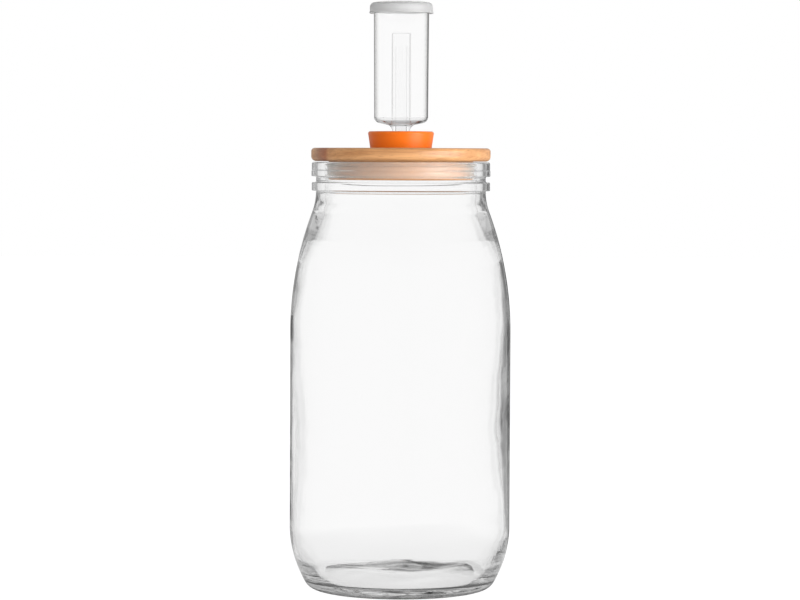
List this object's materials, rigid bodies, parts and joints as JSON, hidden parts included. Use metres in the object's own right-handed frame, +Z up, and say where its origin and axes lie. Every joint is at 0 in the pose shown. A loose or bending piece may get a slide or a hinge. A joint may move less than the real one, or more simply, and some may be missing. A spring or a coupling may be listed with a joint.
{
  "type": "fermentation jar with airlock",
  "caption": "Clear glass fermentation jar with a wooden lid, a silicone seal and bung, and a clear water airlock that lets gas out.",
  "frame": {"origin": "centre of the foot ring, on the surface that the jar stands on", "axes": "+Z up along the axis of the jar and the airlock; every piece is round about it"},
  "size_m": [0.139, 0.139, 0.3691],
  "materials": {
    "jar_glass": "clear pressed glass",
    "lid_wood": "fine-sanded pale hardwood, lightly oiled",
    "clear_silicone": "milky clear silicone",
    "orange_silicone": "satin orange silicone",
    "clear_plastic": "clear glossy moulded plastic",
    "float_plastic": "clear glossy moulded plastic",
    "cap_plastic": "milky translucent soft plastic"
  },
  "bodies": {
    "jar": {"glass_jar": "jar_glass"},
    "lid": {"wooden_lid": "lid_wood", "lid_seal": "clear_silicone"},
    "bung": {"silicone_bung": "orange_silicone"},
    "airlock": {"airlock_body": "clear_plastic"},
    "float": {"airlock_float": "float_plastic"},
    "cap": {"airlock_cap": "cap_plastic"}
  },
  "joints": [
    {"name": "lid_lift", "type": "slide", "parent": "jar", "child": "lid", "axis": [0, 0, 1], "range_m": [0, 0.04]},
    {"name": "bung_pull", "type": "slide", "parent": "lid", "child": "bung", "axis": [0, 0, 1], "range_m": [0, 0.03]},
    {"name": "airlock_pull", "type": "slide", "parent": "bung", "child": "airlock", "axis": [0, 0, 1], "range_m": [0, 0.036]},
    {"name": "float_rise", "type": "slide", "parent": "airlock", "child": "float", "axis": [0, 0, 1], "range_m": [0, 0.014]},
    {"name": "cap_lift", "type": "slide", "parent": "airlock", "child": "cap", "axis": [0, 0, 1], "range_m": [0, 0.012]}
  ]
}
